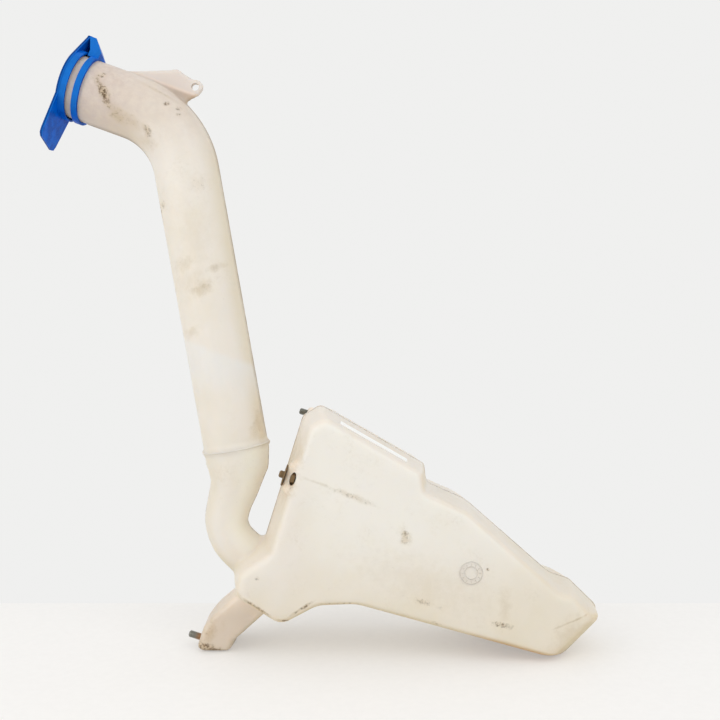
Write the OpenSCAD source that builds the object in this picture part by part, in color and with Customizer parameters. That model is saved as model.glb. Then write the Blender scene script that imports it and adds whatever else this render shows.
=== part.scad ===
// Washer fluid reservoir: blown tank with a long filler neck, flip cap and three fixings.
// Millimetres. The origin is the seat of the lower fixing stud, +Z is up.
// +X runs from the stud to the tank's nose and +Y to the rear.

/* [Tank] */
// Depth of the tank across its two moulded halves
tank_depth = 104; // [94:1:114]
// Wall of the blown shell
wall = 2.5; // [2:0.1:3]
// Rounding between the side walls and the front and rear faces
face_round = 10; // [7:0.5:11]
// Height of the lower stud seat above the ground
seat_height = 8; // [7.5:0.5:10]
// Height of the upper tank corner above the lower stud seat
tank_top = 201; // [195:1:208]
// Reach of the nose to the right of the lower stud seat
tank_reach = 346; // [336:1:356]
// Distance of the parting plane behind the lower stud
parting_y = 10; // [7:1:12]
// Depth of the foot
foot_depth = 54; // [48:1:60]
// Rounding of the foot's front and rear edges
foot_round = 4; // [3:0.5:5]

/* [Filler neck] */
// Outer diameter of the neck at the mouth
neck_d = 54; // [52:0.5:55]
// Outer diameter of the straight tube
tube_d = 55.4; // [54:0.2:57]
// Outer diameter of the narrow lower pipe, seen from the front
pipe_d = 37; // [34:0.5:40]
// Centreline radius of the elbow
elbow_r = 70; // [60:1:76]
// Rise of the mouth's axis above level
mouth_rise = 20; // [18:0.5:23]
// Lean of the straight tube from upright
tube_lean = 9.9; // [9:0.1:10.8]
// Height of the elbow's corner point above the lower stud seat
elbow_z = 444; // [438:0.5:448]
// Length of the neck from the elbow's corner point to the rim
neck_len = 95.5; // [92:0.5:99]
// Width of the blown bead round the tube
bead_d = 3.6; // [3:0.2:4.4]
// Thickness of the flat fin on the elbow
fin_t = 5; // [4:0.5:6]

/* [Fixings] */
// Thread diameter of the studs and of the bolt
thread_d = 6; // [6:1:6]
// Rise of the fixing axes above level
fix_rise = 18; // [16:0.5:20]
// Free thread of the lower stud
lower_free = 11; // [9:0.5:14]
// Free thread of the upper stud
upper_free = 7; // [6:0.5:9]
// Free thread of the middle bolt in front of its washer
middle_free = 4; // [3:0.5:6]
// Diameter of the retaining washer
washer_d = 18; // [16:0.5:20]
// Thickness of the retaining washer
washer_t = 1.2; // [1:0.1:1.6]

/* [Cap] */
// Turn of the cap about the mouth's axis
cap_roll = 13; // [0:1:20]
// Overhang of the lid's disc beyond the neck
lid_over = 3.7; // [3.7:0.1:4.5]
// Thickness of the lid's plate
lid_t = 2.2; // [1.8:0.1:2.6]
// Depth of the lid's skirt
skirt_h = 5.5; // [4.5:0.5:5.5]
// Distance of the hinge from the neck's side
hinge_over = 15; // [14:0.5:18]
// Width of the hinge
hinge_w = 22; // [18:1:25]
// Reach of the pull tab from the mouth's axis
tab_reach = 57.5; // [54:0.5:61]
// Width of the pull tab at its end
tab_w = 38; // [32:1:42]
// Width of the cap ring along the neck
ring_w = 5; // [4:0.5:6]
// Thickness of the cap ring
ring_t = 2.4; // [2:0.1:3]

/* [Pump port] */
// Distance of the port behind the nose's reach
port_back = 78; // [74:1:84]
// Height of the port above the lower stud seat
port_z = 34; // [33:0.5:37]
// Bore of the grommet
port_bore = 17.2; // [15:0.2:18]

/* [Hidden] */
cream = [0.93, 0.9, 0.82];
blue = [0.1, 0.36, 0.75];
steel = [0.38, 0.38, 0.36];
rust = [0.36, 0.24, 0.15];
black = [0.1, 0.1, 0.1];
ground = -seat_height;
rear_y = parting_y + tank_depth / 2;
front_y = parting_y - tank_depth / 2;
thread_r = thread_d / 2;
cut = 1;

// Clearances
swivel_gap = 0.35;
hinge_gap = 0.4;
seat_gap = 0.05;
shank_gap = 0.1;

// Directions in the parting plane
function flat_dir(a) = [cos(a), sin(a)];
function along(p, a, s) = p + s * flat_dir(a);

// Neck route: mouth, elbow and tube meet at the corner point
mouth_angle = 180 - mouth_rise;
tube_angle = tube_lean - 90;
elbow_turn = 90 - tube_lean - mouth_rise;
elbow_cut = elbow_r * tan(elbow_turn / 2);
bead_z = 164;
bead_x = 29.5;
elbow_x = bead_x - (elbow_z - bead_z) * tan(tube_lean);
corner = [elbow_x, elbow_z];
rim = along(corner, mouth_angle, neck_len);
bead_at = along(corner, tube_angle, (elbow_z - bead_z) / cos(tube_lean));
elbow_centre = along(along(corner, mouth_angle, elbow_cut), mouth_angle + 90, elbow_r);
neck_r = neck_d / 2;
tube_r = tube_d / 2;
pipe_r = pipe_d / 2;
mouth_r = neck_r - wall;

// Tank outline, clockwise from the front: x, z, corner radius,
// then the inset of the next edge at half depth and at the face
tank_corners = [
    [88, tank_top - 9.5, 8, 4, 9],
    [103, tank_top, 7, 1.5, 3],
    [193, tank_top - 51.5, 5, 2, 5],
    [195, tank_top - 67.5, 8, 1.5, 3],
    [229, tank_top - 82.5, 30, 1.5, 4],
    [tank_reach - 44, 54.5, 15, 2, 5],
    [tank_reach - 26, 48.5, 10, 3, 7],
    [tank_reach, 23, 10, 2, 18],
    [tank_reach - 31, ground, 7, 0, 6],
    [tank_reach - 58, ground, 14, 2, 6],
    [134, 34.5, 40, 2, 6],
    [104, 33.5, 25, 2, 6],
    [70, 15.5, 14, 3, 8],
    [27.5, 42.5, 9, 4, 9],
    [27.5, 67, 15, 4, 9],
    [55, 86, 8, 4, 10],
];

// Foot outline in the same form, reaching into the tank's lower corner
foot_corners = [
    [11, 24.5, 6, 1, 2],
    [44, 52, 4, 1, 2],
    [68, 20.5, 4, 1, 2],
    [17, ground, 6, 0, 1],
    [3, ground, 4, 0, 1],
    [-5 * sin(fix_rise), -5 * cos(fix_rise), 4, 0, 0],
    [18 * sin(fix_rise), 18 * cos(fix_rise), 4, 1, 2],
];

// Fin outline on the outside of the elbow, counted from the elbow's corner point
fin_outline = [[-46.5, 26], [-46.5, 44.5], [0.5, 46.5], [4, 43.5], [11, 39], [22, 33],
               [17.5, 24], [2, 16], [-10.5, 8]];
fin_eye = corner + [15, 31];
eye_d = 13;
eye_hole = 6.6;

// Lower pipe: centre x, z and radius share of the pipe's own radius
pipe_route = [
    [30.5, 149, 1.45], [28.5, 132, 1.16], [23.5, 115, 1.02], [21, 99.5, 0.99],
    [25.5, 85, 1], [36, 73, 1.02], [52, 60, 1.02], [70, 50, 0.9],
];
pipe_squash = 1.15;
root_from = [38, 71];
root_in = 4;
root_to = [64, 62];
root_r = pipe_r + 6;

// Fixing seats
lower_at = [0, 0, 0];
middle_at = [75.7, front_y + 10, tank_top - 55.3];
upper_at = [89, rear_y - 14, tank_top - 10.7];
stud_grip = 9;
grip_r = thread_r + 0.4;
boss_r = 7;
boss_l = 14;
lug_t = 4.5;
lug_round = 3;
lug_h = 24;
lug_base = 34;
lug_w = 18;
lug_back = 2.5;
pocket_h = 15;
pocket_l = 8;
pocket_back = 7;
pocket_round = 1.5;
head_h = 4;
head_flat = 10;
tip = 1;
waist = 0.35;

// Pump port
port_x = tank_reach - port_back;
port_r = port_bore / 2 + 3.4;
lip_r = port_r + 1.6;
flange_r = port_r + 4;

// Rounded outlines and lofts between them
fine = 4;
coarse = 2;
function edge_inset(c, y, half) =
    y < half / 2 ? c[3] * y / (half / 2) : c[3] + (c[4] - c[3]) * (y - half / 2) / (half / 2);
function unit(v) = v / norm(v);
function right_of(v) = [v[1], -v[0]];
function cross2(a, b) = a[0] * b[1] - a[1] * b[0];
function meet(p, u, q, v) = p + u * cross2(q - p, v) / cross2(u, v);
function point_at(c) = [c[0], c[1]];

// Corners of an outline after each edge has moved inwards at depth y
function moved_corners(list, y, half, extra) = [
    for (i = [0 : len(list) - 1])
        let (n = len(list),
             a = point_at(list[(i + n - 1) % n]),
             b = point_at(list[i]),
             c = point_at(list[(i + 1) % n]),
             u = unit(b - a),
             v = unit(c - b),
             du = edge_inset(list[(i + n - 1) % n], y, half) + extra,
             dv = edge_inset(list[i], y, half) + extra)
        meet(a + du * right_of(u), u, b + dv * right_of(v), v)
];

// The same outline with every corner rounded
function rounded(list, sharp, steps) = [
    for (i = [0 : len(list) - 1])
        let (n = len(list),
             a = sharp[(i + n - 1) % n],
             b = sharp[i],
             c = sharp[(i + 1) % n],
             u = unit(b - a),
             v = unit(c - b),
             turn = acos(max(-1, min(1, u * v))),
             reach = min(list[i][2] * tan(turn / 2), 0.45 * norm(b - a), 0.45 * norm(c - b)),
             p = b - reach * u,
             q = b + reach * v)
        for (k = [0 : steps])
            let (t = k / steps)
            (1 - t) * (1 - t) * p + 2 * t * (1 - t) * b + t * t * q
];

// Depth and rounding of each level of one half
function half_levels(half, r, steps) = concat(
    [[0, 0], [half / 2, 0], [half - r, 0]],
    [for (k = [1 : steps])
        let (a = 90 * k / steps)
        [half - r + r * sin(a), r * (1 - cos(a))]]
);

// Closed skin over a run of rings, with its points set on a fine grid
grid = 0.05;
function on_grid(p) = [for (t = p) round(t / grid) * grid];
module skin(rings) {
    m = len(rings[0]);
    last = len(rings) - 1;
    points = [for (ring = rings) for (p = ring) on_grid(p)];
    sides = [for (k = [0 : last - 1])
                for (j = [0 : m - 1])
                    let (n = (j + 1) % m)
                    [k * m + j, (k + 1) * m + j, (k + 1) * m + n, k * m + n]];
    front = [for (j = [0 : m - 1]) j];
    back = [for (j = [m - 1 : -1 : 0]) last * m + j];
    polyhedron(points, concat([front], sides, [back]), convexity = 8);
}

// Drafted block with rounded faces: two halves about the parting plane
module moulded(list, depth, r, inset, steps) {
    half = depth / 2 - inset;
    up = half_levels(half, max(r - inset, 1), steps);
    down = [for (k = [len(up) - 1 : -1 : 1]) [-up[k][0], up[k][1]]];
    rings = [for (level = concat(down, up))
        let (y = abs(level[0]),
             sharp = moved_corners(list, y * depth / 2 / half, depth / 2, level[1] + inset))
        [for (p = rounded(list, sharp, steps)) [p[0], parting_y + level[0], p[1]]]];
    skin(rings);
}

// Smooth curve through the stations of the lower pipe
function spline(a, b, c, d, t) =
    0.5 * (2 * b + (c - a) * t + (2 * a - 5 * b + 4 * c - d) * t * t
           + (3 * b - a - 3 * c + d) * t * t * t);
function station(i) = pipe_route[max(0, min(len(pipe_route) - 1, i))];
spline_steps = 3;
elbow_steps = 8;

// Stations of the whole neck: x, z, radius in the parting plane, radius across it
neck_stations = concat(
    [[rim[0], rim[1], neck_r, neck_r]],
    [for (k = [0 : elbow_steps])
        let (a = mouth_angle - 90 - elbow_turn * k / elbow_steps,
             p = along(elbow_centre, a, elbow_r),
             r = neck_r + (tube_r - neck_r) * k / elbow_steps)
        [p[0], p[1], r, r]],
    [for (k = [-2 : 2])
        let (p = along(bead_at, tube_angle, k * bead_d / 3),
             r = tube_r + bead_d / 2 * cos(45 * k))
        [p[0], p[1], r, r]],
    [for (i = [0 : len(pipe_route) - 2])
        for (k = [0 : spline_steps - 1])
            let (s = spline(station(i - 1), station(i), station(i + 1), station(i + 2), k / spline_steps),
                 r = s[2] * pipe_r,
                 wide = 1 + (pipe_squash - 1) * min(1, max(0, (1.45 - s[2]) / 0.3)))
            [s[0], s[1], r, r * wide]],
    [let (s = station(len(pipe_route) - 1))
        [s[0], s[1], s[2] * pipe_r, s[2] * pipe_r * pipe_squash]]
);

function heading(i) =
    let (a = neck_stations[max(0, i - 1)], b = neck_stations[min(len(neck_stations) - 1, i + 1)])
    unit([b[0] - a[0], b[1] - a[1]]);

// Tube swept along the neck, smaller by the given inset and longer by the lead at the rim
module neck_sweep(inset, sides, lead) {
    rings = [for (i = [0 : len(neck_stations) - 1])
        let (s = neck_stations[i],
             h = i == 0 ? flat_dir(mouth_angle + 180) : heading(i),
             n = right_of(h),
             c = i == 0 ? along(rim, mouth_angle, lead) : [s[0], s[1]])
        [for (j = [0 : sides - 1])
            let (a = 360 * j / sides,
                 q = c + (s[2] - inset) * cos(a) * n)
            [q[0], parting_y + (s[3] - inset) * sin(a), q[1]]]];
    skin(rings);
}

// Frame of a fixing: -X points out along the thread
module at_fixing(p) {
    translate(p) rotate([0, fix_rise, 0]) children();
}

// Frame of the mouth: Z points out of the rim, X towards the hinge
module at_mouth() {
    translate([rim[0], parting_y, rim[1]]) rotate([0, mouth_rise - 90, 0]) children();
}

module at_cap() {
    at_mouth() rotate([0, 0, cap_roll]) children();
}

module disc(r, x, t) {
    translate([x, 0, 0]) rotate([0, 90, 0]) cylinder(r = r, h = t, $fn = 32);
}

// Solid plastic round a stud's grip
module stud_boss(p, depth) {
    at_fixing(p) hull() {
        disc(boss_r - 1, 0, 1);
        disc(boss_r, 2, depth - 2);
    }
}

// Block of the middle lug
module lug_block() {
    at_fixing(middle_at) translate([0, -lug_w / 2, 0]) hull() {
        for (z = [-1, 1])
            translate([lug_round, 0, z * (lug_h / 2 - lug_round - 1)]) rotate([-90, 0, 0])
                cylinder(r = lug_round, h = lug_w, $fn = 24);
        translate([lug_t + pocket_l / 2, 0, -lug_base / 2]) cube([pocket_l / 2, lug_w, lug_base]);
    }
}

// Pocket behind the middle lug, open to the front
module lug_pocket() {
    front = tank_depth;
    at_fixing(middle_at) hull()
        for (z = [-1, 1])
            translate([lug_t + pocket_round, pocket_back, z * (pocket_h / 2 - pocket_round)])
                rotate([90, 0, 0]) {
                    cylinder(r = pocket_round, h = front, $fn = 24);
                    translate([pocket_l - 2 * pocket_round, 0, 0])
                        cylinder(r = pocket_round, h = front, $fn = 24);
                }
}

// Walls that the shell puts round the pocket
module pocket_walls() {
    front = tank_depth;
    at_fixing(middle_at) hull()
        for (z = [-1, 1])
            translate([0, pocket_back + wall, z * (pocket_h / 2 + wall - lug_round)])
                rotate([90, 0, 0]) {
                    translate([-lug_t, 0, 0]) cylinder(r = lug_round, h = front, $fn = 24);
                    translate([lug_t + pocket_l + wall - lug_round, 0, 0])
                        cylinder(r = lug_round, h = front, $fn = 24);
                }
}

// Hole of the pump grommet through the rear wall
module port_hole() {
    translate([port_x, rear_y - 2 * wall, port_z]) rotate([-90, 0, 0])
        cylinder(r = port_r, h = 4 * wall, $fn = 48);
}

module fin() {
    translate([0, parting_y + fin_t / 2, 0]) rotate([90, 0, 0])
        linear_extrude(fin_t) translate(corner) polygon(fin_outline);
    translate([fin_eye[0], parting_y, fin_eye[1]]) rotate([90, 0, 0]) hull() {
        cylinder(d = eye_d, h = fin_t + 2, center = true, $fn = 32);
        cylinder(d = eye_d - 2, h = fin_t + 5, center = true, $fn = 32);
    }
}

// Smooth root where the pipe runs into the tank
module pipe_root(inset) {
    hull() {
        translate([root_from[0], parting_y, root_from[1]]) sphere(r = pipe_r - root_in - inset, $fn = 20);
        translate([root_to[0], parting_y, root_to[1]]) sphere(r = root_r - inset, $fn = 20);
    }
}

// Everything outside and everything inside the shell
module outer_form() {
    moulded(tank_corners, tank_depth, face_round, 0, fine);
    moulded(foot_corners, foot_depth, foot_round, 0, coarse);
    neck_sweep(0, 28, 0);
    pipe_root(0);
    intersection() {
        lug_block();
        translate([0, front_y + lug_back, 0]) cube([tank_top, tank_depth, tank_top]);
    }
    stud_boss(upper_at, boss_l - wall);
    fin();
}

module inner_form() {
    difference() {
        union() {
            moulded(tank_corners, tank_depth, face_round, wall, coarse);
            moulded(foot_corners, foot_depth, foot_round, wall, coarse);
            pipe_root(wall);
        }
        pocket_walls();
        stud_boss(lower_at, boss_l);
        stud_boss(upper_at, boss_l);
    }
    neck_sweep(wall, 24, cut);
}

module reservoir() {
    color(cream) difference() {
        outer_form();
        inner_form();
        lug_pocket();
        for (p = [lower_at, upper_at])
            at_fixing(p) disc(grip_r + shank_gap, -cut, stud_grip + cut + shank_gap);
        at_fixing(middle_at) disc(thread_r + shank_gap, -cut, lug_t + 2 * cut);
        port_hole();
        translate([fin_eye[0], parting_y, fin_eye[1]]) rotate([90, 0, 0])
            cylinder(d = eye_hole, h = 4 * fin_t, center = true, $fn = 24);
    }
}

// Stud pressed into the plastic, with free thread outside
module stud(p, free) {
    color(steel) at_fixing(p) rotate([0, -90, 0]) {
        translate([0, 0, -stud_grip]) cylinder(r = grip_r, h = stud_grip, $fn = 32);
        cylinder(r = thread_r, h = free - tip, $fn = 32);
        translate([0, 0, free - tip]) cylinder(r1 = thread_r, r2 = thread_r - tip, h = tip, $fn = 32);
    }
}

module lower_stud() {
    stud(lower_at, lower_free);
}

module upper_stud() {
    stud(upper_at, upper_free);
}

// Hexagon bolt through the lug, head in the pocket
module middle_bolt() {
    front = washer_t + seat_gap;
    head_face = -lug_t - seat_gap;
    thread = middle_free - tip;
    color(rust) at_fixing(middle_at) rotate([0, -90, 0]) {
        translate([0, 0, head_face - head_h]) cylinder(d = head_flat / cos(30), h = head_h, $fn = 6);
        translate([0, 0, head_face - cut])
            cylinder(r = thread_r - waist, h = front - head_face + 2 * cut, $fn = 32);
        translate([0, 0, front]) cylinder(r = thread_r, h = thread, $fn = 32);
        translate([0, 0, front + thread]) cylinder(r1 = thread_r, r2 = thread_r - tip, h = tip, $fn = 32);
    }
}

module retaining_washer() {
    color(rust) at_fixing(middle_at) rotate([0, -90, 0]) translate([0, 0, seat_gap]) difference() {
        cylinder(d = washer_d, h = washer_t, $fn = 48);
        translate([0, 0, -cut]) cylinder(r = thread_r + seat_gap, h = washer_t + 2 * cut, $fn = 48);
    }
}

// Cap: positions along the mouth's axis are counted from the rim
ring_r = neck_r + swivel_gap;
ring_z = -13.5;
rim_gap = 0.3;
hinge_z = lid_t / 2 + rim_gap;
lid_r = neck_r + lid_over;
hinge_reach = neck_r + hinge_over;
skirt_t = 1.5;
plug_t = 1.6;
plug_h = skirt_h - 1;
plug_gap = 1;
barrel_r = lid_t / 2 + 0.2;
skirt_r = lid_r - 0.4;
plug_r = mouth_r - plug_gap;

// Point where a line from p touches a circle about the origin, on the +Y side
function touch(r, p) =
    let (a = atan2(p[1], p[0]), w = acos(r / norm(p)))
    r * flat_dir(p[0] > 0 ? a + w : a - w);
hinge_corner = [hinge_reach, hinge_w / 2];
lid_touch = touch(lid_r, hinge_corner);
tab_start = -20;
tab_half = sqrt(lid_r * lid_r - tab_start * tab_start);

module mirrored_plate(half_outline, t) {
    linear_extrude(t) polygon(concat(half_outline,
        [for (i = [len(half_outline) - 1 : -1 : 0]) [half_outline[i][0], -half_outline[i][1]]]));
}

module cap_lid() {
    color(blue) at_cap() {
        translate([0, 0, hinge_z - lid_t / 2]) {
            cylinder(r = lid_r, h = lid_t, $fn = 96);
            mirrored_plate([[0, lid_touch[1]], lid_touch, hinge_corner], lid_t);
            mirrored_plate([[0, tab_half], [tab_start, tab_half], [6 - tab_reach, tab_w / 2 + 1],
                            [2 - tab_reach, tab_w / 2 - 0.5], [-tab_reach, tab_w / 2 - 5]], lid_t);
            translate([0, 0, -skirt_h]) difference() {
                cylinder(r = skirt_r, h = skirt_h + lid_t / 2, $fn = 96);
                translate([0, 0, -cut])
                    cylinder(r = skirt_r - skirt_t, h = skirt_h + cut, $fn = 96);
            }
            translate([0, 0, -plug_h]) difference() {
                cylinder(r = plug_r, h = plug_h + lid_t / 2, $fn = 96);
                translate([0, 0, -cut]) cylinder(r = plug_r - plug_t, h = plug_h + cut, $fn = 96);
            }
        }
        translate([hinge_reach, 0, hinge_z]) rotate([90, 0, 0])
            cylinder(r = barrel_r, h = hinge_w, center = true, $fn = 32);
    }
}

// Side view of the strap: from the ring outwards, then up to the hinge
strap_t = 2;
strap_foot = 0.7 * ring_r;
strap_top = hinge_z - barrel_r - hinge_gap;
ring_low = ring_z - ring_w / 2;
ring_high = ring_z + ring_w / 2;
strap_side = [
    [strap_foot, ring_low],
    [ring_r + ring_t, ring_low],
    [hinge_reach + strap_t / 2, strap_top - 5],
    [hinge_reach + strap_t / 2, strap_top],
    [hinge_reach - strap_t / 2, strap_top],
    [hinge_reach - strap_t / 2, strap_top - 4],
    [ring_r + ring_t, ring_high],
    [strap_foot, ring_high],
];
strap_root_w = 34;

// Side webs that stiffen the strap, one along each edge
web_t = 1.6;
web_rise = 4.5;
web_side = [
    [strap_foot, ring_low],
    [ring_r + ring_t, ring_low],
    [hinge_reach, strap_top - 5],
    [hinge_reach, strap_top],
    [hinge_reach - strap_t / 2, strap_top],
    [ring_r + ring_t / 2, ring_high + web_rise],
    [strap_foot, ring_high + web_rise],
];

// Plan of the strap, narrower towards the hinge and smaller by the given inset
module strap_plan(inset) {
    root = strap_root_w / 2 - inset;
    translate([0, 0, ring_z - ring_w])
        mirrored_plate([[0, root], [ring_r, root], [hinge_reach + strap_t, hinge_w / 2 - inset]],
                       ring_w - ring_z);
}

module strap_form(side) {
    rotate([90, 0, 0]) linear_extrude(strap_root_w + 2, center = true) polygon(side);
}

module cap_ring() {
    color(blue) at_cap() {
        translate([0, 0, ring_low]) difference() {
            cylinder(r = ring_r + ring_t, h = ring_w, $fn = 96);
            translate([0, 0, -cut]) cylinder(r = ring_r, h = ring_w + 2 * cut, $fn = 96);
        }
        difference() {
            union() {
                intersection() {
                    strap_form(strap_side);
                    strap_plan(0);
                }
                intersection() {
                    strap_form(web_side);
                    difference() {
                        strap_plan(0);
                        strap_plan(web_t);
                    }
                }
            }
            translate([0, 0, ring_z - 2 * ring_w])
                cylinder(r = ring_r + ring_t / 2, h = 2 * ring_w - ring_z, $fn = 96);
        }
    }
}

// Rubber grommet: outer flange, groove on the tank's wall, inner lip and bore
module pump_grommet() {
    flange_t = 3;
    lip_t = 3.5;
    lip_slope = 1.5;
    groove = wall + 2 * seat_gap;
    color(black) translate([port_x, rear_y - wall - seat_gap, port_z]) rotate([-90, 0, 0])
        rotate_extrude($fn = 64) polygon([
            [port_bore / 2, -lip_t],
            [lip_r - lip_slope, -lip_t],
            [lip_r, -lip_t + lip_slope],
            [lip_r, 0],
            [port_r - seat_gap, 0],
            [port_r - seat_gap, groove],
            [flange_r, groove],
            [flange_r, groove + flange_t - 1],
            [flange_r - 1, groove + flange_t],
            [port_bore / 2, groove + flange_t],
        ]);
}

reservoir();
cap_ring();
cap_lid();
lower_stud();
upper_stud();
middle_bolt();
retaining_washer();
pump_grommet();
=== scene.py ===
import bpy
import bmesh
import math
import numpy as np
from mathutils import Matrix, Vector


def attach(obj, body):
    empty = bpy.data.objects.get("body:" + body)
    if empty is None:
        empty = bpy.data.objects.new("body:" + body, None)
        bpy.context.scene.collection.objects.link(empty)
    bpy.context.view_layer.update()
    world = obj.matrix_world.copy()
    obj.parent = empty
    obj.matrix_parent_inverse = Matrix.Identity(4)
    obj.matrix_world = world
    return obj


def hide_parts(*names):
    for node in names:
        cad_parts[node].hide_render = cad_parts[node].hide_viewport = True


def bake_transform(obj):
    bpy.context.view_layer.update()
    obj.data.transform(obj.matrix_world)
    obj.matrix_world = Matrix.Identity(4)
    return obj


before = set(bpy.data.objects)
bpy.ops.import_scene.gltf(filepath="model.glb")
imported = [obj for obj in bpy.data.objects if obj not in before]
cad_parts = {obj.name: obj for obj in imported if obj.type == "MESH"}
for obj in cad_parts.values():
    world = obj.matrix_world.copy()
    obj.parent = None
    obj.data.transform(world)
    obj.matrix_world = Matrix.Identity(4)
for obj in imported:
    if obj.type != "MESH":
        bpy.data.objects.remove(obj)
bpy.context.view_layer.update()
scene = bpy.context.scene
mm = 0.001
print("frame loaded")


# meshes are drawn in millimetres, in the part's own frame
def meshPiece(name, verts, faces):
    mesh = bpy.data.meshes.new(name)
    mesh.from_pydata([Vector(v) * mm for v in verts], [], faces)
    work = bmesh.new()
    work.from_mesh(mesh)
    bmesh.ops.recalc_face_normals(work, faces=work.faces)
    work.to_mesh(mesh)
    work.free()
    piece = bpy.data.objects.new(name, mesh)
    scene.collection.objects.link(piece)
    return piece


def joined(name, parts):
    verts, faces = [], []
    for partVerts, partFaces in parts:
        start = len(verts)
        verts.extend(partVerts)
        faces.extend([[start + i for i in face] for face in partFaces])
    return meshPiece(name, verts, faces)


def settle(piece):  # the modifiers' result takes the mesh's place
    graph = bpy.context.evaluated_depsgraph_get()
    result = bpy.data.meshes.new_from_object(piece.evaluated_get(graph))
    piece.modifiers.clear()
    piece.data = result
    return piece


def carve(piece, tool):
    cutter = piece.modifiers.new("carve", "BOOLEAN")
    cutter.operation = "DIFFERENCE"
    cutter.solver = "MANIFOLD"
    cutter.object = tool
    settle(piece)
    bpy.data.objects.remove(tool)
    return piece


def smoothShade(piece, angle=None):
    for polygon in piece.data.polygons:
        polygon.use_smooth = True
    if angle is not None:
        piece.data.set_sharp_from_angle(angle=math.radians(angle))
    return piece


def bevelEdges(piece, width, segments=3, angle=35):
    bevel = piece.modifiers.new("soft edges", "BEVEL")
    bevel.width = width * mm
    bevel.segments = segments
    bevel.limit_method = "ANGLE"
    bevel.angle_limit = math.radians(angle)
    bevel.harden_normals = False
    return piece


def wearFinish(piece, finish):
    piece.data.materials.clear()
    piece.data.materials.append(finish)
    return piece


def skin(rings):  # closed skin over a run of equal rings
    count = len(rings[0])
    verts = [p for ring in rings for p in ring]
    faces = [list(range(count))]
    for k in range(len(rings) - 1):
        for j in range(count):
            n = (j + 1) % count
            faces.append([k * count + j, (k + 1) * count + j, (k + 1) * count + n, k * count + n])
    last = (len(rings) - 1) * count
    faces.append([last + count - 1 - j for j in range(count)])
    return verts, faces


def hullOf(points):
    work = bmesh.new()
    for p in points:
        work.verts.new(p)
    bmesh.ops.convex_hull(work, input=work.verts)
    loose = [v for v in work.verts if not v.link_faces]
    bmesh.ops.delete(work, geom=loose, context="VERTS")
    work.verts.index_update()
    verts = [tuple(v.co) for v in work.verts]
    faces = [[v.index for v in face.verts] for face in work.faces]
    work.free()
    return verts, faces


def rod(start, end, radius, sides=48, endRadius=None):  # round bar between two points
    start, end = Vector(start), Vector(end)
    turn = (end - start).to_track_quat("Z", "Y")
    rings = []
    for centre, r in ((start, radius), (end, radius if endRadius is None else endRadius)):
        rings.append([centre + turn @ Vector((r * math.cos(a), r * math.sin(a), 0))
                      for a in (math.tau * j / sides for j in range(sides))])
    return skin(rings)


def ball(centre, radius, sides=32):
    points = []
    for i in range(sides // 2 + 1):
        tilt = math.pi * i / (sides // 2)
        for j in range(sides):
            turn = math.tau * j / sides
            points.append(Vector(centre) + radius * Vector((math.sin(tilt) * math.cos(turn),
                                                            math.sin(tilt) * math.sin(turn),
                                                            math.cos(tilt))))
    return points


# tank: two drafted halves about the parting plane
tank = {
    "depth": 104,
    "wall": 2.5,
    "partingY": 10,
    "faceRound": 6,
    "ground": -8,
    "top": 201,
    "reach": 346,
    "voxel": 1.85,
    "smoothing": 3,
}
ground, tankTop, reach, partingY = (tank[k] for k in ("ground", "top", "reach", "partingY"))
frontY = partingY - tank["depth"] / 2
rearY = partingY + tank["depth"] / 2
# x, z, corner radius, inset of the next edge at half depth and at the face
tankCorners = [
    (88, tankTop - 9.5, 8, 4, 9), (103, tankTop, 7, 1.5, 3),
    (193, tankTop - 51.5, 5, 2, 5), (195, tankTop - 67.5, 8, 1.5, 3),
    (229, tankTop - 82.5, 30, 1.5, 4), (reach - 44, 54.5, 15, 2, 5),
    (reach - 26, 48.5, 8, 3, 7), (reach, 23, 7, 2, 18),
    (reach - 31, ground, 3, 0, 6), (reach - 58, ground, 14, 2, 6),
    (134, 34.5, 40, 2, 6), (104, 33.5, 25, 2, 6),
    (70, 15.5, 14, 3, 8), (27.5, 42.5, 9, 4, 9),
    (27.5, 67, 15, 4, 9), (55, 86, 8, 4, 10),
]
fixRise = math.radians(18)
foot = {"depth": 54, "round": 4}
footCorners = [
    (11, 24.5, 6, 1, 2), (44, 52, 4, 1, 2), (60, 26, 4, 1, 2), (31, 0, 6, 1, 2), (28, ground, 3, 0, 1),
    (3, ground, 4, 0, 1),
    (-5 * math.sin(fixRise), -5 * math.cos(fixRise), 4, 0, 0),
    (18 * math.sin(fixRise), 18 * math.cos(fixRise), 4, 1, 2),
]


def unit(v):
    return v / np.linalg.norm(v)


def rightOf(v):
    return np.array([v[1], -v[0]])


def cross2(a, b):
    return a[0] * b[1] - a[1] * b[0]


def edgeInset(corner, y, half):
    if y < half / 2:
        return corner[3] * y / (half / 2)
    return corner[3] + (corner[4] - corner[3]) * (y - half / 2) / (half / 2)


def outlineAt(corners, y, half, extra, steps):  # rounded outline at one depth
    count = len(corners)
    flat = [np.array(c[:2], float) for c in corners]
    sharp = []
    for i in range(count):
        a, b, c = flat[i - 1], flat[i], flat[(i + 1) % count]
        u, v = unit(b - a), unit(c - b)
        p = a + (edgeInset(corners[i - 1], y, half) + extra) * rightOf(u)
        q = b + (edgeInset(corners[i], y, half) + extra) * rightOf(v)
        sharp.append(p + u * cross2(q - p, v) / cross2(u, v))
    points = []
    for i in range(count):
        a, b, c = sharp[i - 1], sharp[i], sharp[(i + 1) % count]
        u, v = unit(b - a), unit(c - b)
        turn = math.acos(max(-1, min(1, float(u @ v))))
        room = 0.45 * min(np.linalg.norm(b - a), np.linalg.norm(c - b))
        cut = min(corners[i][2] * math.tan(turn / 2), room)
        p, q = b - cut * u, b + cut * v
        for t in np.linspace(0, 1, steps + 1):
            points.append((1 - t) ** 2 * p + 2 * t * (1 - t) * b + t * t * q)
    return points


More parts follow.
